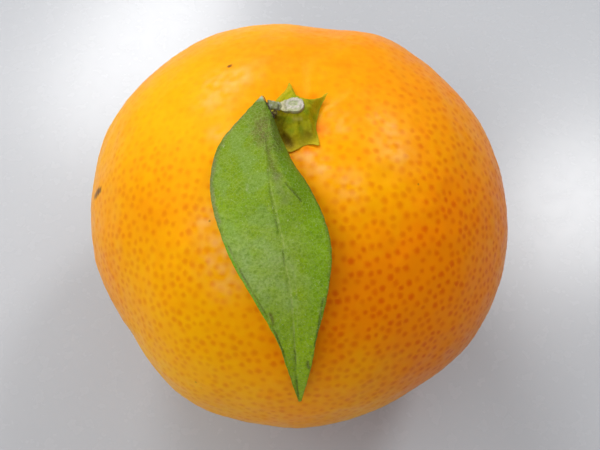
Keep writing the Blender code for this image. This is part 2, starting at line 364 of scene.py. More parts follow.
class Shade:
    """Builds one material's nodes; each call adds a node and returns its output."""

    def __init__(self, name, roughness=0.5, specular=0.5):
        self.mat = bpy.data.materials.new(name)
        self.mat.use_nodes = True
        self.tree = self.mat.node_tree
        self.shader = self.tree.nodes["Principled BSDF"]
        self.shader.inputs["Roughness"].default_value = roughness
        self.shader.inputs["Specular IOR Level"].default_value = specular

    def put(self, socket, value):
        if isinstance(value, bpy.types.NodeSocket):
            self.tree.links.new(value, socket)
        elif isinstance(value, (tuple, list)) and socket.type == "RGBA":
            socket.default_value = (*value, 1.0)
        else:
            socket.default_value = value

    def node(self, kind, inputs, output=0, **settings):
        made = self.tree.nodes.new(kind)
        for key, value in settings.items():
            setattr(made, key, value)
        for key, value in inputs.items():
            self.put(made.inputs[key], value)
        return made.outputs[output]

    def coordinates(self):
        return self.node("ShaderNodeTexCoord", {}, "Object")

    def attribute(self, name, output="Fac"):
        return self.node("ShaderNodeAttribute", {}, output, attribute_name=name)

    def math(self, operation, a, b=0.0):
        return self.node("ShaderNodeMath", {0: a, 1: b}, operation=operation)

    def distance(self, a, b):
        return self.node("ShaderNodeVectorMath", {0: a, 1: b}, "Value", operation="DISTANCE")

    def remap(self, value, low, high, to_low=0.0, to_high=1.0):
        inputs = {0: value, 1: low, 2: high, 3: to_low, 4: to_high}
        return self.node("ShaderNodeMapRange", inputs, interpolation_type="SMOOTHSTEP")

    def mix(self, share, a, b, blend="MIX"):
        inputs = {0: share, 6: a, 7: b}
        return self.node("ShaderNodeMix", inputs, 2, data_type="RGBA", blend_type=blend)

    def noise(self, vector, size, detail=2.0):
        """Noise with features about size mm across."""
        inputs = {"Vector": vector, "Scale": 1.0 / (size * MM), "Detail": detail}
        return self.node("ShaderNodeTexNoise", inputs, "Fac")

    def cells(self, vector, size, feature="F1"):
        inputs = {"Vector": vector, "Scale": 1.0 / (size * MM)}
        return self.node("ShaderNodeTexVoronoi", inputs, "Distance", feature=feature)

    def bump(self, height, depth, normal=None):
        """Bump whose height from 0 to 1 stands for depth mm."""
        inputs = {"Height": height, "Distance": depth * MM, "Strength": 1.0}
        if normal:
            inputs["Normal"] = normal
        return self.node("ShaderNodeBump", inputs)

    def finish(self, colour, roughness=None, normal=None):
        self.put(self.shader.inputs["Base Color"], colour)
        if roughness is not None:
            self.put(self.shader.inputs["Roughness"], roughness)
        if normal is not None:
            self.put(self.shader.inputs["Normal"], normal)
        return self.mat

    def glow(self, weight, scale, radius):
        """Light that scatters under the surface: how much, and how far in mm for each colour."""
        self.shader.inputs["Subsurface Weight"].default_value = weight
        self.shader.inputs["Subsurface Scale"].default_value = scale * MM
        self.shader.inputs["Subsurface Radius"].default_value = radius


# ---------------- the rind


def swell(azimuth):
    """How far the girth stands out at each azimuth."""
    total = np.zeros_like(azimuth)
    for index, height in enumerate(SWELL_HEIGHTS):
        total += height * bell(turn_between(azimuth, index * SWELL_STEP), SWELL_HALF_WIDTH)
    return total


def crown_height(radius):
    """Height of the unswollen rind above its girth, at a distance from the axis."""
    inside = np.clip(1.0 - (radius / EQUATOR_RADIUS) ** PLAN_POWER, 0.0, 1.0)
    dimple = STEM_DIMPLE_DEPTH * bell(radius, STEM_DIMPLE_RADIUS)
    return HALF_HEIGHT - FOOT_CUT + HALF_HEIGHT * inside ** (1.0 / PLAN_POWER) - dimple


def rind_points(directions):
    """Where the rind meets each direction from the middle of its girth, before its finer shape."""
    across, azimuth = polar(directions)
    up = directions[:, 2]
    size = (across / EQUATOR_RADIUS) ** PLAN_POWER + (np.abs(up) / HALF_HEIGHT) ** PLAN_POWER
    reach = size ** (-1.0 / PLAN_POWER)
    radius = across * reach
    growth = swell(azimuth) / EQUATOR_RADIUS * (radius / EQUATOR_RADIUS) ** SWELL_POWER
    middle = HALF_HEIGHT - FOOT_CUT
    dimple = STEM_DIMPLE_DEPTH * bell(radius, STEM_DIMPLE_RADIUS)
    above = up * reach
    upper = middle + (above - dimple) * (1.0 + growth)
    lower = middle + above
    lower = 0.5 * (lower + np.sqrt(lower**2 + FOOT_SOFTNESS**2))
    inner = np.clip(1.0 - (radius / FOOT_INNER_RADIUS) ** 2, 0.0, 1.0)
    lower += BLOSSOM_DIMPLE_DEPTH * inner**2
    height = np.where(up > 0.0, upper, lower)
    angle = np.radians(azimuth)
    reach_out = radius * (1.0 + growth)
    return np.stack([reach_out * np.cos(angle), reach_out * np.sin(angle), height], axis=1)


def rind_grid():
    """Directions and quads of a cube blown up into a sphere, its six patches joined."""
    count = RIND_PATCH_FACES + 1
    side = np.tan(np.linspace(-1.0, 1.0, count) * math.pi / 4)
    u, v = np.meshgrid(side, side, indexing="ij")
    one = np.ones_like(u)
    patches = ((one, u, v), (-one, v, u), (v, one, u), (u, -one, v), (u, v, one), (v, u, -one))
    points = np.concatenate([np.stack(patch, axis=-1).reshape(-1, 3) for patch in patches])
    faces = np.array([f for k in range(6) for f in grid_faces(count, count, k * count * count)])
    keys = np.round(points * 1e5).astype(np.int64)
    _, first, joined = np.unique(keys, axis=0, return_index=True, return_inverse=True)
    return normalised(points[first]), joined.ravel()[faces]


def scatter_glands():
    """Oil glands over the whole rind: a place, a radius and a depth of tone for each."""
    rng = np.random.default_rng(11)
    directions = normalised(rng.normal(size=(GLAND_DARTS, 3)))
    points = rind_points(directions)
    low, high = GLAND_SPACING
    spacing = low + (high - low) * np.clip(0.5 + 0.6 * noise_at(points, 14.0, 3.0), 0.0, 1.0)
    cell = high
    cells = {}
    kept = []
    for index, point in enumerate(points.tolist()):
        key = tuple(int(math.floor(c / cell)) for c in point)
        near = [
            other
            for i in (-1, 0, 1)
            for j in (-1, 0, 1)
            for k in (-1, 0, 1)
            for other in cells.get((key[0] + i, key[1] + j, key[2] + k), ())
        ]
        gap = spacing[index]
        if all(math.dist(point, other) >= gap for other in near):
            cells.setdefault(key, []).append(point)
            kept.append(index)
    places = points[kept]
    radii = GLAND_RADIUS[0] + (GLAND_RADIUS[1] - GLAND_RADIUS[0]) * rng.beta(2.2, 2.0, len(kept))
    tones = 0.30 + 0.65 * rng.beta(2.5, 1.6, len(kept))
    from_back_left = np.hypot(places[:, 0] + 4.0, places[:, 1] - 9.0)
    tones *= 0.32 + 0.68 * smooth(8.0, 21.0, from_back_left)
    tones *= 0.60 + 0.40 * smooth(16.0, 36.0, places[:, 2])
    tones *= 0.55 + 0.45 * smooth(-14.0, 10.0, 0.35 * places[:, 0] - places[:, 1])
    return places, radii, tones


def gland_finder(places):
    tree = kdtree.KDTree(len(places))
    for index, place in enumerate(places.tolist()):
        tree.insert(place, index)
    tree.balance()
    return tree


def nearest_glands(tree, points):
    """The index of the nearest gland to each point, and how far it is."""
    found = [tree.find(point)[1:] for point in points.tolist()]
    return np.array([f[0] for f in found]), np.array([f[1] for f in found])


def rind_relief(points, gland_share):
    """How far each point moves along its normal: furrows, soft unevenness and gland pits."""
    radius, azimuth = polar(points)
    top = points[:, 2] > HALF_HEIGHT
    relief = 0.10 * noise_at(points, 7.0, 1.0) + 0.05 * noise_at(points, 2.6, 5.0)
    relief += 0.018 * noise_at(points, 1.2, 7.0)
    furrow_reach = smooth(2.5, 4.5, radius) * smooth(13.0, 6.0, radius) * top
    for index, centre in enumerate(FURROW_AZIMUTHS):
        bent = azimuth + 8.0 * np.sin(radius * 0.5 + index)
        depth = FURROW_DEPTH * (0.7 + 0.3 * math.sin(index * 2.3))
        relief -= depth * bell(turn_between(bent, centre), FURROW_HALF_WIDTH) * furrow_reach
    relief -= PIT_DEPTH * bell(gland_share, 0.75)
    return relief


def rind_ripeness_and_shade(points):
    """0 is yellow-orange and 1 is deep orange: riper to the right, with local patches, two of which are
    painted shade beside the calyx.
    """
    side = points[:, 0] / EQUATOR_RADIUS
    ripe_and_shade = 0.46 + 0.22 * side + 0.14 * noise_at(points, 11.0, 9.0) + 0.08 * noise_at(points, 4.0, 13.0)
    for x, y, reach, change in RIPE_AND_SHADE_PATCHES:
        ripe_and_shade += change * near_in_plan(points, x, y, reach)
    return ripe_and_shade


def rind_painted_highlights(points):
    """Mottled pale patches of painted highlight on the upper rind, where the lights' sheen falls."""
    pale = np.zeros(len(points))
    for x, y, reach, strength in PAINTED_HIGHLIGHT_PATCHES:
        pale = np.maximum(pale, strength * near_in_plan(points, x, y, reach))
    mottle = np.clip(0.75 + 1.1 * noise_at(points, 0.9, 4.0), 0.0, 1.5)
    return pale * mottle * (points[:, 2] > HALF_HEIGHT)


def speck_place(azimuth, radius):
    """A point on the upper rind at an azimuth and a distance from the axis."""
    angle = math.radians(azimuth)
    heights = np.linspace(0.02, 1.5, 400)
    across = np.cos(heights)
    fan = np.stack([across * math.cos(angle), across * math.sin(angle), np.sin(heights)], axis=1)
    ring = rind_points(fan)
    return ring[np.argmin(np.abs(polar(ring)[0] - radius))]


def rind_material():
    s = Shade("mandarin_rind", specular=0.13)
    s.shader.inputs["Specular Tint"].default_value = (1.0, 0.60, 0.18, 1.0)
    place = s.coordinates()
    away = s.distance(place, s.attribute("gland_place", "Vector"))
    wobble = s.noise(place, 0.5, 1.0)
    away = s.math("MULTIPLY", away, s.remap(wobble, 0.2, 0.8, 0.82, 1.18))
    share = s.math("DIVIDE", away, s.attribute("gland_radius"))
    gland = s.remap(share, 1.45, 0.10)
    tone = s.math("MULTIPLY", gland, s.attribute("gland_tone"))
    # ripeness, with painted shade beside the calyx in two of its patches
    ripe_and_shade = s.attribute("ripeness_and_shade")
    mottle = s.noise(place, 1.3, 3.0)
    ripe_and_shade = s.math("ADD", ripe_and_shade, s.remap(mottle, 0.25, 0.75, -0.12, 0.12))
    skin = s.mix(ripe_and_shade, (0.94, 0.445, 0.0005), (0.89, 0.245, 0.0005))
    spot = s.mix(ripe_and_shade, (0.84, 0.30, 0.0005), (0.74, 0.105, 0.0005))
    colour = s.mix(tone, skin, spot)
    pale = s.attribute("painted_highlight")
    # painted highlights: the pale sheen patches lighten the rind's colour
    colour = s.mix(pale, colour, (0.93, 0.50, 0.14))
    dark = None
    for azimuth, radius, size, strength in RIND_SPECKS:
        centre = tuple(c * MM for c in speck_place(azimuth, radius).tolist())
        reach = s.math("MULTIPLY", s.distance(place, centre), s.remap(wobble, 0.3, 0.7, 0.85, 1.2))
        one = s.remap(reach, size * MM * 1.55, size * MM * 0.3, 0.0, strength)
        dark = one if dark is None else s.math("MAXIMUM", dark, one)
    colour = s.mix(dark, colour, (0.07, 0.03, 0.012))
    scar = s.attribute("scar")
    colour = s.mix(scar, colour, (0.16, 0.09, 0.03))
    grain = s.noise(place, 0.12, 2.0)
    patches = s.noise(place, 2.2, 3.0)
    roughness = s.remap(grain, 0.2, 0.8, 0.31, 0.43)
    roughness = s.math("ADD", roughness, s.remap(patches, 0.3, 0.7, -0.05, 0.10))
    roughness = s.math("ADD", roughness, s.math("MULTIPLY", gland, 0.06))
    height = s.math("MULTIPLY", gland, -1.0)
    normal = s.bump(height, 0.013)
    normal = s.bump(grain, 0.012, normal)
    s.glow(0.15, 0.8, (1.2, 0.45, 0.03))
    return s.finish(colour, roughness, normal)


def build_rind():
    directions, faces = rind_grid()
    points = rind_points(directions)
    places, radii, tones = scatter_glands()
    tree = gland_finder(places)
    ob = make_object("mandarin_rind", points, faces.tolist(), rind_material())
    normals = np.zeros(len(points) * 3, np.float32)
    ob.data.vertices.foreach_get("normal", normals)
    normals = normals.reshape(-1, 3).astype(float)
    index, away = nearest_glands(tree, points)
    points = points + normals * rind_relief(points, away / radii[index])[:, None]
    points[:, 2] = np.maximum(points[:, 2], 0.0)
    ob.data.vertices.foreach_set("co", (points * MM).astype(np.float32).ravel())
    ob.data.update()
    store(ob, "ripeness_and_shade", rind_ripeness_and_shade(points))
    radius, _ = polar(points)
    scar = smooth(1.6, 0.9, radius + 0.3 * noise_at(points, 0.8, 2.0)) * (points[:, 2] < 5.0)
    store(ob, "scar", scar)
    store(ob, "painted_highlight", rind_painted_highlights(points))
    centres = points[faces].mean(axis=1)
    index, _ = nearest_glands(tree, centres)
    store(ob, "gland_place", places[index] * MM, "FACE")
    store(ob, "gland_radius", radii[index] * MM, "FACE")
    store(ob, "gland_tone", tones[index], "FACE")
    attach(ob, "fruit")


# ---------------- the calyx


def calyx_outline(count):
    """Evenly spaced points round the calyx's edge, in plan, on a smooth curve through its corners."""
    angle = np.radians([corner[0] for corner in CALYX_OUTLINE])
    reach = np.array([corner[1] for corner in CALYX_OUTLINE])
    corners = np.stack([reach * np.cos(angle), reach * np.sin(angle)], axis=1)
    wrapped = np.concatenate([corners[-2:], corners, corners[:3]])
    curve = smooth_curve(wrapped, np.linspace(2.0, len(corners) + 2.0, 4001))
    steps = np.linalg.norm(np.diff(curve, axis=0), axis=1)
    travelled = np.concatenate([[0.0], np.cumsum(steps)])
    even = np.linspace(0.0, travelled[-1], count + 1)[:-1]
    return np.stack([np.interp(even, travelled, curve[:, k]) for k in range(2)], axis=1)


def calyx_lift(azimuth, radius):
    """How far the sepals' ends stand off the rind."""
    lift = np.zeros_like(azimuth)
    for centre, tip, curl in SEPALS:
        near = bell(turn_between(azimuth, centre), 22.0)
        lift += curl * near * smooth(2.4, tip, radius) ** 1.5
    return lift


def calyx_thickness(azimuth, radius):
    """Domed under the stub, with a rib along each sepal and creases between them."""
    dome = CALYX_THICKNESS + 0.60 * smooth(2.3, 1.0, radius)
    thin = 0.95 + (0.28 - 0.95) * smooth(2.6, 4.4, radius)
    thickness = dome + (thin - dome) * smooth(1.2, 3.1, radius)
    body = smooth(0.9, 1.8, radius) * smooth(4.6, 3.0, radius)
    for centre, _, _ in SEPALS:
        thickness += 0.14 * bell(turn_between(azimuth, centre), 13.0) * body
    for centre in CREASE_AZIMUTHS:
        thickness -= 0.14 * bell(turn_between(azimuth, centre), 6.0) * body
    thickness += 0.04 * np.sin(np.radians(azimuth) * 17.0 + radius * 1.3) * body
    thickness -= 0.10 * bell(radius - 1.95, 0.16) * bell(turn_between(azimuth, 275.0), 48.0)
    return thickness


def calyx_colours(points):
    """Yellow-green olive, browner to the sepals' tips, with brown stains on the front, and painted shade
    in the creases, under the leaf and the neck, and just below the stub.
    """
    radius, azimuth = polar(points)
    coat = Coat(points, (0.370, 0.345, 0.002))
    mottle = noise_at(points, 0.9, 6.0)
    coat.paint((0.270, 0.320, 0.003), smooth(-0.2, 0.7, mottle))
    tip = smooth(2.7, 4.4, radius)
    coat.paint((0.56, 0.40, 0.008), tip * 0.75)
    # painted shade: darker olive down the creases between the sepals
    for centre in CREASE_AZIMUTHS:
        crease_shade = bell(turn_between(azimuth, centre), 7.0) * smooth(1.2, 2.2, radius)
        coat.paint((0.17, 0.17, 0.002), 0.45 * crease_shade)
    coat.spots((0.62, 0.39, 0.006), CALYX_RIPE_SPOTS)
    # painted shade where the leaf hangs over the calyx
    shade_under_leaf = smooth(-1.2, -2.4, points[:, 0]) * smooth(-0.5, -1.5, points[:, 1])
    coat.paint((0.15, 0.16, 0.003), 0.6 * shade_under_leaf)
    coat.spots((0.085, 0.038, 0.001), CALYX_STAINS_AND_SHADE)
    # painted shade: a dark line on the calyx just below the stub
    shade_below_stub = [(-0.9, -1.95, 50.6), (0.3, -2.15, 50.6), (1.2, -1.8, 50.6)]
    coat.line((0.12, 0.12, 0.002), shade_below_stub, 0.16, 0.50)
    coat.line((0.52, 0.48, 0.12), [(-0.3, -1.60, 50.7), (0.5, -1.65, 50.7)], 0.20, 0.55)
    return coat.colours


def calyx_material():
    s = Shade("mandarin_calyx", specular=0.10)
    place = s.coordinates()
    fine = s.noise(place, 0.22, 3.0)
    grime = s.remap(fine, 0.35, 0.8, 0.0, 0.22)
    colour = s.mix(grime, s.attribute("tint", "Color"), (0.12, 0.11, 0.002))
    pores = s.cells(place, 0.28)
    colour = s.mix(s.remap(pores, 0.28, 0.08, 0.0, 0.30), colour, (0.50, 0.46, 0.03))
    normal = s.bump(s.noise(place, 0.35, 3.0), 0.06)
    s.glow(0.10, 0.5, (0.6, 0.8, 0.1))
    return s.finish(colour, s.remap(fine, 0.3, 0.7, 0.45, 0.65), normal)


def build_calyx():
    count, top_rings, under_rings = 480, 44, 12
    outline = calyx_outline(count)
    reach, azimuth = polar(outline)
    rings = [(share, 1.0) for share in np.linspace(0.004, 1.0, top_rings)]
    rings += [(share, 0.0) for share in np.linspace(0.985, 0.05, under_rings)]
    points = []
    for share, top in rings:
        radius = reach * share
        seat = crown_height(radius) + 0.03 + calyx_lift(azimuth, radius)
        edge = 0.15 + 0.85 * smooth(1.0, 0.62, share)
        height = seat + top * calyx_thickness(azimuth, radius) * edge
        points.append(np.stack([outline[:, 0] * share, outline[:, 1] * share, height], axis=1))
    points = np.concatenate(points)
    caps = [cap[::-1] for cap in end_caps(len(rings), count)]
    faces = grid_faces(len(rings), count, closed=True, flip=True) + caps
    rough = 0.05 * noise_at(points, 0.5, 8.0) + 0.02 * noise_at(points, 0.22, 18.0)
    points[:, 2] += rough * smooth(0.0, 0.5, points[:, 2] - crown_height(np.hypot(*points.T[:2])))
    ob = make_object("calyx_star", points, faces, calyx_material())
    store(ob, "tint", calyx_colours(points))
    attach(ob, "calyx")


# ---------------- the stub of twig


def stub_reach(azimuth):
    """The twig's outline in plan: a round end with the knob standing out of one side."""
    turn = np.radians(turn_between(azimuth, KNOB_AZIMUTH))
    aside = KNOB_OFFSET * np.sin(turn)
    inside = np.clip(KNOB_RADIUS**2 - aside**2, 0.0, None)
    knob = KNOB_OFFSET * np.cos(turn) + np.sqrt(inside)
    reach = np.where((np.cos(turn) > 0.0) & (inside > 0.0), np.maximum(knob, STUB_RADIUS), STUB_RADIUS)
    blur = bell(np.arange(-12, 13), 6.0)
    wrapped = np.concatenate([reach[-12:], reach, reach[:12]])
    return np.convolve(wrapped, blur / blur.sum(), mode="valid")


def stub_cleft(points, top):
    """Distance from the groove between the round end and the knob."""
    return distance_to_path(points, [(-1.18, 0.42, top), (-1.28, -0.38, top), (-1.18, -1.15, top)])


def stub_crack(points, top):
    """Distance from the short dark crack at the knob's outer end."""
    return distance_to_path(points, [(-1.93, -0.36, top), (-1.80, -0.58, top), (-1.95, -0.80, top)])


def stub_pith(points):
    """Distance from the middle of the pith, in shares that make the pith an oval."""
    return np.hypot((points[:, 0] + 0.38) / 1.45, points[:, 1] + 0.17)


def stub_colours(points, low, top):
    """Pale pinkish-grey cut wood with a greenish pith ring, a beige knob and greener walls, with painted
    shade at the walls' foot.
    """
    coat = Coat(points, (0.49, 0.47, 0.37))
    mottle = noise_at(points, 0.28, 21.0)
    coat.paint((0.58, 0.52, 0.46), smooth(-0.1, 0.6, mottle))
    coat.paint((0.33, 0.34, 0.18), smooth(0.1, 0.8, -mottle) * 0.6)
    wall = smooth(top - 0.18, top - 0.50, points[:, 2])
    coat.paint((0.30, 0.30, 0.05), wall * 0.9)
    # painted shade at the foot of the stub's walls, where it meets the calyx
    coat.paint((0.10, 0.10, 0.006), smooth(low + 0.55, low + 0.2, points[:, 2]) * 0.8)
    knob = smooth(-1.20, -1.40, points[:, 0])
    coat.paint((0.52, 0.48, 0.26), knob * 0.7)
    pith = stub_pith(points)
    face = 1.0 - wall
    coat.paint((0.33, 0.40, 0.15), 0.70 * bell(pith - 0.27, 0.10) * face)
    coat.paint((0.40, 0.44, 0.20), 0.7 * bell(pith, 0.16) * face)
    coat.paint((0.36, 0.40, 0.14), 0.55 * smooth(-0.75, -1.20, points[:, 1]) * face)
    coat.paint((0.22, 0.22, 0.10), 0.7 * bell(stub_cleft(points, top), 0.10))
    coat.paint((0.05, 0.03, 0.008), 0.9 * bell(stub_crack(points, top), 0.15))
    return coat.colours


def stub_material():
    s = Shade("cut_twig", specular=0.25)
    place = s.coordinates()
    fine = s.noise(place, 0.10, 3.0)
    colour = s.mix(s.remap(fine, 0.45, 0.8, 0.0, 0.45), s.attribute("tint", "Color"), (0.20, 0.17, 0.08))
    fibres = s.cells(place, 0.16)
    colour = s.mix(s.remap(fibres, 0.25, 0.10, 0.0, 0.30), colour, (0.60, 0.57, 0.48))
    normal = s.bump(s.noise(place, 0.16, 4.0), 0.08)
    return s.finish(colour, s.remap(fine, 0.2, 0.8, 0.65, 0.9), normal)


def build_stem_stub():
    low_corner, high_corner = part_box("stem_stub")
    low, top = low_corner.z / MM - 0.35, high_corner.z / MM
    count = 240
    azimuth = np.arange(count) * 360.0 / count
    reach = stub_reach(azimuth) * 1.04
    angle = np.radians(azimuth)
    rings = [(1.10 - 0.10 * t, low + (top - 0.10 - low) * t) for t in np.linspace(0.0, 1.0, 16)]
    rings += [(1.0 - 0.06 * t, top - 0.10 + 0.10 * math.sin(t * math.pi / 2)) for t in (0.4, 0.7, 1.0)]
    rings += [(share, top) for share in np.linspace(0.90, 0.01, 24)]
    points = []
    for share, height in rings:
        depth = np.clip((top - height) / (top - low), 0.0, 1.0)
        narrowed = reach * share * (1.0 - 0.30 * depth * smooth(0.2, 0.9, -np.cos(angle)))
        x = STUB_CENTRE[0] + narrowed * np.cos(angle)
        y = STUB_CENTRE[1] + narrowed * np.sin(angle) + 0.42 * depth
        points.append(np.stack([x, y, np.full(count, height)], axis=1))
    points = np.concatenate(points)
    colours = stub_colours(points, low, top)
    cap = smooth(top - 0.3, top, points[:, 2])
    knob = smooth(-1.15, -1.45, points[:, 0])
    pith = stub_pith(points)
    drop = 0.10 * knob + 0.08 * bell(pith - 0.27, 0.10) + 0.16 * bell(stub_cleft(points, top), 0.13)
    drop += 0.22 * bell(stub_crack(points, top), 0.15) + 0.05 * bell(pith, 0.9)
    points[:, 2] -= drop * cap
    rough = 0.05 * noise_at(points, 0.45, 31.0) + 0.03 * noise_at(points, 0.18, 33.0)
    points += rough[:, None] * normalised(points - np.array((*STUB_CENTRE, low - 0.5)))
    faces = grid_faces(len(rings), count, closed=True) + end_caps(len(rings), count)
    ob = make_object("twig_stub", points, faces, stub_material())
    store(ob, "tint", colours)
    attach(ob, "stem_stub")


# ---------------- the petiole and its seam


def tube(path, widths, heights, wide, count):
    """Points and faces of a closed tube along a path. Its section is an oval, with half-widths
    along the direction wide and half-heights across it."""
    rows = len(path)
    widths, heights = np.broadcast_to(widths, rows), np.broadcast_to(heights, rows)
    tangents = normalised(np.gradient(path, axis=0))
    wide = normalised(wide - (wide * tangents).sum(axis=1, keepdims=True) * tangents)
    thin = np.cross(tangents, wide)
    angle = np.arange(count) * 2 * math.pi / count
    points = (
        path[:, None, :]
        + wide[:, None, :] * (np.cos(angle)[None, :] * widths[:, None])[..., None]
        + thin[:, None, :] * (np.sin(angle)[None, :] * heights[:, None])[..., None]
    ).reshape(-1, 3)
    return points, grid_faces(rows, count, closed=True) + end_caps(rows, count)


SEAM_STATIONS = (
    (-3.74, 0.44, 52.22), (-3.30, -0.60, 52.14), (-2.96, -1.30, 51.98), (-2.73, -1.85, 51.84),
    (-2.50, -2.28, 51.66),
)
SCAR_CENTRE = np.array((-2.43, -1.36, 51.52))
SCAR_NORMAL = normalised(np.array((0.30, -0.35, 0.89)))
SCAR_SIDE = normalised(np.cross(SCAR_NORMAL, (0.0, 1.0, 0.0)))


def petiole_material():
    s = Shade("petiole_skin", specular=0.3)
    place = s.coordinates()
    fine = s.noise(place, 0.12, 3.0)
    colour = s.mix(s.remap(fine, 0.4, 0.8, 0.0, 0.5), s.attribute("tint", "Color"), (0.13, 0.12, 0.05))
    normal = s.bump(s.noise(place, 0.2, 3.0), 0.06)
    return s.finish(colour, s.remap(fine, 0.2, 0.8, 0.5, 0.75), normal)


def build_petiole():
    low_corner, high_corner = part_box("petiole")
    start = np.array((-1.88, -0.36, high_corner.z / MM - 0.44))
    end = np.array((low_corner.x / MM + 0.12, -0.46, high_corner.z / MM - 0.06))
    rows, count = 40, 48
    share = np.linspace(0.0, 1.0, rows)[:, None]
    path = start + (end - start) * share
    path[:, 2] += 0.06 * np.sin(share[:, 0] * math.pi)
    wide = np.array((0.0, -1.0, 0.0)) * (1.0 - share) + np.array((0.41, -0.89, -0.19)) * share
    flat = share[:, 0]
    widths = 0.60 - 0.05 * np.sin(flat * math.pi) + 0.08 * smooth(0.3, 1.0, flat)
    heights = 0.34 - 0.04 * np.sin(flat * math.pi) - 0.06 * flat
    points, faces = tube(path, widths, heights, wide, count)
    along = np.repeat(flat, count)
    side = np.abs(np.tile(np.cos(np.arange(count) * 2 * math.pi / count), rows))
    points += (0.05 * noise_at(points, 0.35, 41.0))[:, None] * np.array((0.0, 0.4, 1.0))
    coat = Coat(points, (0.23, 0.25, 0.10))
    coat.paint((0.36, 0.38, 0.30), smooth(-0.1, 0.5, noise_at(points, 0.35, 43.0)) * 0.8)
    coat.paint((0.10, 0.06, 0.012), 0.7 * smooth(0.86, 0.98, side))
    coat.paint((0.05, 0.035, 0.012), smooth(0.90, 1.0, along))
    coat.line((0.04, 0.028, 0.008), [(-2.02, -0.42, 51.7), (-2.05, -0.85, 51.6)], 0.14, 0.8)
    ob = make_object("petiole_neck", points, faces, petiole_material())
    store(ob, "tint", coat.colours)
    attach(ob, "petiole")


def seam_line():
    """The dark line of the joint, thicker at its lower end."""
    places = np.linspace(0.0, len(SEAM_STATIONS) - 1.0, 60)
    widths = 0.050 + 0.065 * smooth(0.10, 0.6, places / places[-1])
    return tube(smooth_curve(SEAM_STATIONS, places), widths, widths * 0.8, (0.0, 0.3, 1.0), 20)


def scar_ring():
    """The dark ring round the scar at the seam's lower end."""
    other = np.cross(SCAR_NORMAL, SCAR_SIDE)
    turns = np.linspace(0.0, 2 * math.pi, 41)[:, None]
    path = SCAR_CENTRE + 0.25 * (np.cos(turns) * SCAR_SIDE + np.sin(turns) * other)
    return tube(path, 0.07, 0.06, SCAR_NORMAL, 16)


def scar_post():
    """The short post whose end is the face of the scar."""
    path = SCAR_CENTRE - SCAR_NORMAL * np.linspace(1.0, 0.03, 12)[:, None]
    return tube(path, 0.22, 0.22, SCAR_SIDE, 24)


def build_seam():
    """The dark joint between the neck and the blade, with a round scar at its lower end."""
    parts = (seam_line(), scar_ring(), scar_post())
    faces = []
    start = 0
    for part_points, part_faces in parts:
        faces += [[i + start for i in face] for face in part_faces]
        start += len(part_points)
    points = np.concatenate([part_points for part_points, _ in parts])
    part_of = np.repeat(np.arange(3), [len(part_points) for part_points, _ in parts])
    points += 0.03 * noise_at(points, 0.25, 51.0)[:, None]
    coat = Coat(points, (0.035, 0.024, 0.010))
    coat.paint((0.11, 0.07, 0.015), smooth(0.1, 0.8, noise_at(points, 0.3, 53.0)))
    coat.paint((0.11, 0.07, 0.010), 0.6 * (part_of >= 1))
    face = (part_of == 2) * smooth(-0.25, -0.05, (points - SCAR_CENTRE) @ SCAR_NORMAL)
    coat.paint((0.34, 0.26, 0.05), face)
    ob = make_object("leaf_seam", points, faces, petiole_material())
    store(ob, "tint", coat.colours)
    attach(ob)


# ---------------- the leaf


def blade_points(places, across):
    """Points on the blade's middle surface for matching lists of places and shares across."""
    midrib, left, right = (smooth_curve([row[k] for row in BLADE_STATIONS], places) for k in range(3))
    edge = np.where((across < 0.0)[:, None], left, right)
    points = midrib + (edge - midrib) * np.abs(across)[:, None]
    fade = bell(places - 2.5, 1.6)
    points[:, 2] += np.where(across > 0.0, RIGHT_HALF_CROWN * fade * 4 * across * (1 - across), 0.0)
    return points


def blade_path(stops):
    """A path drawn on the blade, from (place, across) stops."""
    stops = np.array(stops, float)
    return blade_points(stops[:, 0], stops[:, 1])


# Paths drawn on the blade, each stop a place counted in stations and a share across.
MIDRIB_PATH = (
    (0.0, 0.0), (1.2, 0.0), (2.4, 0.0), (3.6, 0.0), (4.8, 0.02), (5.3, 0.0), (6.0, -0.05), (7.0, -0.06),
    (7.8, -0.08), (8.4, -0.25), (8.8, -0.45),
)
RIDGE_PATH = (
    (0.15, -0.10), (0.53, 0.0), (1.03, 0.28), (1.85, 0.20), (2.48, 0.28), (3.08, 0.42), (3.5, 0.57),
)
CREASE_PATH = ((3.03, 0.40), (3.15, 0.45), (3.35, 0.54), (3.55, 0.62))

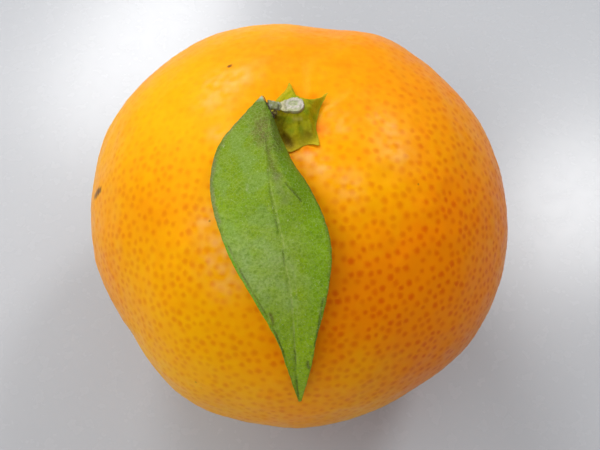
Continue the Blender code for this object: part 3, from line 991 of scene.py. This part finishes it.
# Marks painted on the blade: colour, strength, half-width in mm, path of (place, across). A few of them
# are painted shade, as noted.
LEAF_MARKS = (
    ((0.120, 0.095, 0.028), 0.90, 1.00, ((1.05, -0.20), (1.30, -0.18), (1.50, -0.06))),
    # painted shade near the blade's base, right of the midrib
    ((0.070, 0.085, 0.012), 0.70, 0.55, ((0.45, 0.45), (1.0, 0.40), (1.6, 0.34))),
    ((0.11, 0.10, 0.025), 0.70, 0.50,
     ((1.5, 0.04), (1.8, 0.04), (2.12, 0.10), (2.43, 0.16), (2.75, 0.22))),
    ((0.21, 0.22, 0.11), 0.40, 0.55, ((2.75, 0.20), (3.1, 0.22), (3.5, 0.28))),
    # painted shade by the calyx, along the right margin near the base
    ((0.07, 0.08, 0.01), 0.70, 0.60, ((0.6, 0.85), (1.0, 0.80), (1.4, 0.62), (1.9, 0.45))),
    # painted shade along the fold's crease
    ((0.05, 0.07, 0.01), 0.85, 0.12, CREASE_PATH),
    ((0.09, 0.13, 0.015), 0.75, 0.10, ((2.45, -0.015), (3.1, -0.015), (3.7, -0.01), (4.1, -0.005))),
    ((0.05, 0.07, 0.01), 0.60, 0.10, ((4.05, 0.0), (4.3, 0.0))),
    ((0.07, 0.11, 0.01), 0.80, 0.09, ((4.75, 0.02), (5.08, 0.0))),
    ((0.40, 0.47, 0.14), 0.65, 0.08, ((2.4, 0.03), (3.2, 0.03), (4.0, 0.05), (4.7, 0.07))),
    ((0.40, 0.47, 0.14), 0.60, 0.09,
     ((5.1, 0.03), (5.6, 0.0), (6.2, -0.05), (7.0, -0.06), (7.8, -0.05))),
    ((0.36, 0.42, 0.14), 0.35, 0.08, ((5.1, 0.16), (5.8, 0.14), (6.6, 0.10))),
    ((0.06, 0.07, 0.01), 0.70, 0.09, ((7.35, -0.12), (7.50, -0.03), (7.62, -0.12), (7.85, -0.05))),
    ((0.05, 0.05, 0.01), 0.80, 0.10, ((8.30, -0.20), (8.55, -0.32), (8.80, -0.45))),
    ((0.22, 0.20, 0.11), 0.60, 0.24, ((2.3, -0.97), (2.9, -0.97), (3.5, -0.96), (4.1, -0.95))),
    ((0.20, 0.20, 0.09), 0.40, 0.25, ((1.0, -0.97), (1.6, -0.97), (2.3, -0.96))),
    ((0.05, 0.06, 0.015), 0.75, 0.10,
     ((4.7, -0.93), (5.4, -0.92), (6.1, -0.89), (6.8, -0.88), (7.4, -0.88))),
    ((0.09, 0.06, 0.02), 0.80, 0.17, ((6.28, -0.74), (6.42, -0.76), (6.56, -0.82))),
    ((0.06, 0.06, 0.02), 0.55, 0.13, ((6.9, -0.93), (7.3, -0.88), (7.6, -0.9))),
    ((0.05, 0.06, 0.02), 0.75, 0.13, ((5.90, 0.90), (6.30, 0.90), (6.75, 0.96), (7.2, 0.97))),
    ((0.06, 0.05, 0.02), 0.80, 0.15, ((7.75, 0.72), (7.88, 0.74), (7.98, 0.86))),
    ((0.50, 0.54, 0.34), 0.70, 0.09, ((1.92, -0.89), (1.95, -0.88))),
    ((0.42, 0.48, 0.24), 0.55, 0.10, ((2.90, -0.36), (3.05, -0.38))),
    ((0.45, 0.52, 0.42), 0.80, 0.35, ((0.02, -0.75), (0.10, -0.95))),
)


def leaf_colours(points, places, across):
    """Light green; the left half greyer with painted sheen, and the strip right of the ridge a darker,
    saturated green as painted shade, turned away from the light.
    """
    coat = Coat(points, (0.215, 0.330, 0.010))
    broad = noise_at(points, 3.2, 61.0)
    coat.paint((0.175, 0.305, 0.010), smooth(-0.1, 0.8, broad) * 0.7)
    fine = noise_at(points, 0.8, 63.0)
    coat.paint((0.26, 0.37, 0.050), smooth(0.0, 0.9, fine) * 0.5)
    # painted sheen: the left half greyed where the lights' sheen falls on it
    grey = noise_at(points, 1.5, 64.0)
    sheen_left_half = smooth(0.3, -0.1, across) * smooth(0.6, 2.0, places)
    coat.paint((0.215, 0.340, 0.070), smooth(0.0, 0.7, grey) * 0.6 * sheen_left_half)
    ridge = np.interp(places, [p for p, _ in RIDGE_PATH], [a for _, a in RIDGE_PATH])
    # painted shade: the strip right of the ridge turns away from the light, so it is darker and more
    # saturated
    outer = smooth(0.0, 0.12, across - ridge) * smooth(5.2, 3.2, places)
    coat.paint((0.135, 0.255, 0.0015), outer * 0.90)
    lower = smooth(0.25, 0.6, across) * smooth(3.0, 4.5, places) * smooth(7.6, 6.0, places)
    coat.paint((0.165, 0.31, 0.005), lower * 0.55)
    # a pale patch over the lower middle of the blade, partly dust and partly painted sheen
    dust_and_sheen = bell(places - 5.3, 0.9) * smooth(0.75, 0.1, across)
    dust_and_sheen *= np.clip(0.55 + 0.6 * noise_at(points, 1.6, 65.0), 0.0, 1.0)
    coat.paint((0.33, 0.42, 0.17), dust_and_sheen * 0.65)
    top = smooth(1.6, 0.3, places) * smooth(0.3, -0.2, across)
    coat.paint((0.125, 0.17, 0.018), top * 0.7)
    margin = smooth(0.90, 0.99, np.abs(across) + 0.02 * noise_at(points, 0.6, 67.0))
    coat.paint((0.09, 0.11, 0.02), margin * 0.55 * smooth(8.8, 7.5, places))
    rim = smooth(-0.93, -0.98, across) * smooth(4.3, 4.9, places) * smooth(7.6, 6.8, places)
    coat.paint((0.15, 0.36, 0.015), rim)
    low_half = smooth(5.5, 7.5, places)
    coat.paint((0.235, 0.360, 0.002), 0.6 * low_half)
    coat.colours *= (0.80 + 0.24 * smooth(1.0, 5.0, places) + 0.16 * low_half)[:, None]
    for colour, strength, width, path in LEAF_MARKS:
        away = distance_to_path(points, blade_path(path))
        ragged = np.clip(1.0 + 0.45 * noise_at(points, 0.7, 69.0 + width), 0.3, 1.6)
        coat.paint(colour, strength * bell(away / ragged, width))
    return coat.colours


def leaf_relief(points, places, across):
    """Raised and sunken detail of the upper face: ridge, midrib groove, side veins, margin."""
    relief = -0.10 * bell(distance_to_path(points, blade_path(MIDRIB_PATH)), 0.20)
    relief += 0.16 * bell(distance_to_path(points, blade_path(RIDGE_PATH)), 0.60)
    relief -= 0.14 * bell(distance_to_path(points, blade_path(CREASE_PATH)), 0.16)
    relief += 0.12 * smooth(-0.90, -0.97, across) * smooth(4.3, 5.0, places)
    relief += 0.06 * noise_at(points, 2.4, 71.0) + 0.02 * noise_at(points, 0.6, 73.0)
    return relief - 0.025 * side_veins(places, across)


def side_veins(places, across):
    """1 along the side veins, which leave the midrib at a slant and fade out at the margin."""
    spacing = 0.62
    wander = 0.06 * np.sin(places * 5.0) + 0.05 * np.sin(across * 7.0)
    phase = (places - 1.15 * np.abs(across) ** 0.85 + wander) / spacing + 0.35 * (across > 0)
    off = np.abs(phase % 1.0 - 0.5) * spacing
    return bell(off, 0.045) * smooth(1.0, 0.6, np.abs(across)) * smooth(8.6, 7.0, places)


def leaf_material():
    s = Shade("leaf_skin", specular=0.12)
    s.shader.inputs["Specular Tint"].default_value = (0.75, 1.0, 0.40, 1.0)
    place = s.coordinates()
    dots = s.remap(s.cells(place, 0.85), 0.30, 0.12, 0.0, 0.45)
    colour = s.mix(dots, s.attribute("tint", "Color"), (0.09, 0.19, 0.010))
    fine = s.noise(place, 0.30, 4.0)
    colour = s.mix(s.remap(fine, 0.42, 0.62, 0.0, 0.40), colour, (0.12, 0.22, 0.004))
    net = s.cells(place, 0.42, "DISTANCE_TO_EDGE")
    colour = s.mix(s.remap(net, 0.10, 0.02, 0.0, 0.22), colour, (0.36, 0.46, 0.14))
    flecks = s.remap(s.noise(place, 0.20, 2.0), 0.62, 0.76, 0.0, 0.5)
    colour = s.mix(flecks, colour, (0.42, 0.50, 0.24))
    colour = s.mix(s.attribute("vein"), colour, (0.30, 0.42, 0.08))
    grain = s.cells(place, 0.16, "SMOOTH_F1")
    normal = s.bump(grain, 0.035)
    normal = s.bump(fine, 0.045, normal)
    s.glow(0.08, 0.4, (0.5, 1.0, 0.1))
    return s.finish(colour, s.remap(fine, 0.3, 0.7, 0.38, 0.56), normal)


def leaf_faces(rows, columns):
    """The upper and under faces, and the strips that close the blade's sides and ends."""
    count = rows * columns
    faces = grid_faces(rows, columns, flip=True) + grid_faces(rows, columns, start=count)
    for i in range(rows - 1):
        for j, flip in ((0, False), (columns - 1, True)):
            a, b = i * columns + j, (i + 1) * columns + j
            side = (a, b, b + count, a + count)
            faces.append(side if flip else side[::-1])
    for j in range(columns - 1):
        for i, flip in ((0, True), (rows - 1, False)):
            a, b = i * columns + j, i * columns + j + 1
            side = (a, b, b + count, a + count)
            faces.append(side if flip else side[::-1])
    return faces


def leaf_normals(middle, rows, columns):
    """The upward normals of the blade's middle surface, and its directions across."""
    grid = middle.reshape(rows, columns, 3)
    along, aside = np.gradient(grid, axis=0), np.gradient(grid, axis=1)
    normals = normalised(np.cross(aside, along)).reshape(-1, 3)
    return normals * np.sign(normals[:, 2:3] + 1e-9), normalised(aside.reshape(-1, 3))


def build_leaf():
    rows, columns = BLADE_ALONG + 1, 2 * BLADE_ACROSS + 1
    last = len(BLADE_STATIONS) - 1.0
    row_places = np.linspace(0.0, last, rows)
    column_across = np.linspace(-1.0, 1.0, columns)
    places, across = (g.ravel() for g in np.meshgrid(row_places, column_across, indexing="ij"))
    middle = blade_points(places, across)
    normals, aside = leaf_normals(middle, rows, columns)
    outward = aside * np.sign(across)[:, None]
    teeth = 0.035 * noise_at(middle, 0.8, 75.0) + 0.012 * np.sin(places * 21.0)
    middle += outward * (teeth * np.abs(across) ** 14 * smooth(0.1, 0.6, places))[:, None]
    half = BLADE_HALF_THICKNESS * np.sqrt(1.0 - 0.75 * np.abs(across) ** 8)
    relief = leaf_relief(middle, places, across)
    rib = bell(distance_to_path(middle, blade_path(MIDRIB_PATH)), 0.34) * smooth(9.0, 4.0, places)
    top = middle + normals * (half + relief)[:, None]
    under = middle - normals * (half - relief * 0.6 + 0.28 * rib)[:, None]
    points = np.concatenate([top, under])
    upper = leaf_colours(middle, places, across)
    lower = Coat(middle, (0.24, 0.36, 0.09))
    lower.paint((0.33, 0.42, 0.14), rib)
    ob = make_object("mandarin_leaf", points, leaf_faces(rows, columns), leaf_material())
    store(ob, "tint", np.concatenate([upper, lower.colours]))
    veins = side_veins(places, across)
    store(ob, "vein", np.concatenate([0.12 * veins, 0.35 * veins]))
    attach(ob, "leaf_blade")


# ---------------- the scene


def build_floor():
    s = Shade("pale_tabletop", specular=0.4)
    place = s.coordinates()
    soft = s.noise(place, 60.0, 3.0)
    colour = s.mix(s.remap(soft, 0.3, 0.7), (0.440, 0.450, 0.472), (0.456, 0.466, 0.488))
    roughness = s.remap(s.noise(place, 3.0, 4.0), 0.3, 0.7, 0.263, 0.277)
    reach = 2500.0
    height = cad_box[0].z / MM
    points = [(x * reach, y * reach, height) for x, y in ((-1, -1), (1, -1), (1, 1), (-1, 1))]
    floor = make_object("tabletop", points, [(0, 1, 2, 3)], s.finish(colour, roughness))


def build_world():
    world = bpy.data.worlds.new("studio")
    world.use_nodes = True
    background = world.node_tree.nodes["Background"]
    background.inputs["Color"].default_value = (0.93, 0.96, 1.0, 1.0)
    background.inputs["Strength"].default_value = WORLD_STRENGTH
    bpy.context.scene.world = world


def box_middle(box):
    low, high = (np.array(corner, float) for corner in box)
    return (low + high) / 2.0


def build_lights(target):
    for name, azimuth, elevation, distance, length, width, roll, power in LIGHTS:
        lamp = bpy.data.lights.new(name, "AREA")
        lamp.shape = "ELLIPSE"
        lamp.size = length * MM
        lamp.size_y = width * MM
        lamp.energy = power
        a, e = math.radians(azimuth), math.radians(elevation)
        away = Vector((math.cos(a) * math.cos(e), math.sin(a) * math.cos(e), math.sin(e)))
        ob = bpy.data.objects.new(name, lamp)
        ob.location = Vector(target) + away * distance * MM
        facing = away.to_track_quat("Z", "Y")
        ob.rotation_euler = (facing @ Quaternion((0.0, 0.0, 1.0), math.radians(roll))).to_euler()
        bpy.context.scene.collection.objects.link(ob)


def build_camera(middle):
    target = Vector(middle) + Vector(AIM_OFFSET) * MM
    camera = bpy.data.cameras.new("camera")
    camera.sensor_width = 36.0
    camera.lens = 18.0 / math.tan(math.radians(CAMERA_FIELD / 2))
    camera.clip_start = 0.005
    ob = bpy.data.objects.new("camera", camera)
    e = math.radians(CAMERA_ELEVATION)
    ob.location = target + Vector((0.0, -math.cos(e), math.sin(e))) * CAMERA_DISTANCE * MM
    ob.rotation_euler = (math.pi / 2 - e, 0.0, 0.0)
    bpy.context.scene.collection.objects.link(ob)
    bpy.context.scene.camera = ob


def main():
    middle = box_middle(cad_box)
    build_rind()
    build_calyx()
    build_stem_stub()
    build_petiole()
    build_seam()
    build_leaf()
    build_floor()
    build_world()
    build_lights(middle)
    build_camera(middle)
    bpy.context.scene.view_settings.view_transform = "Standard"


main()
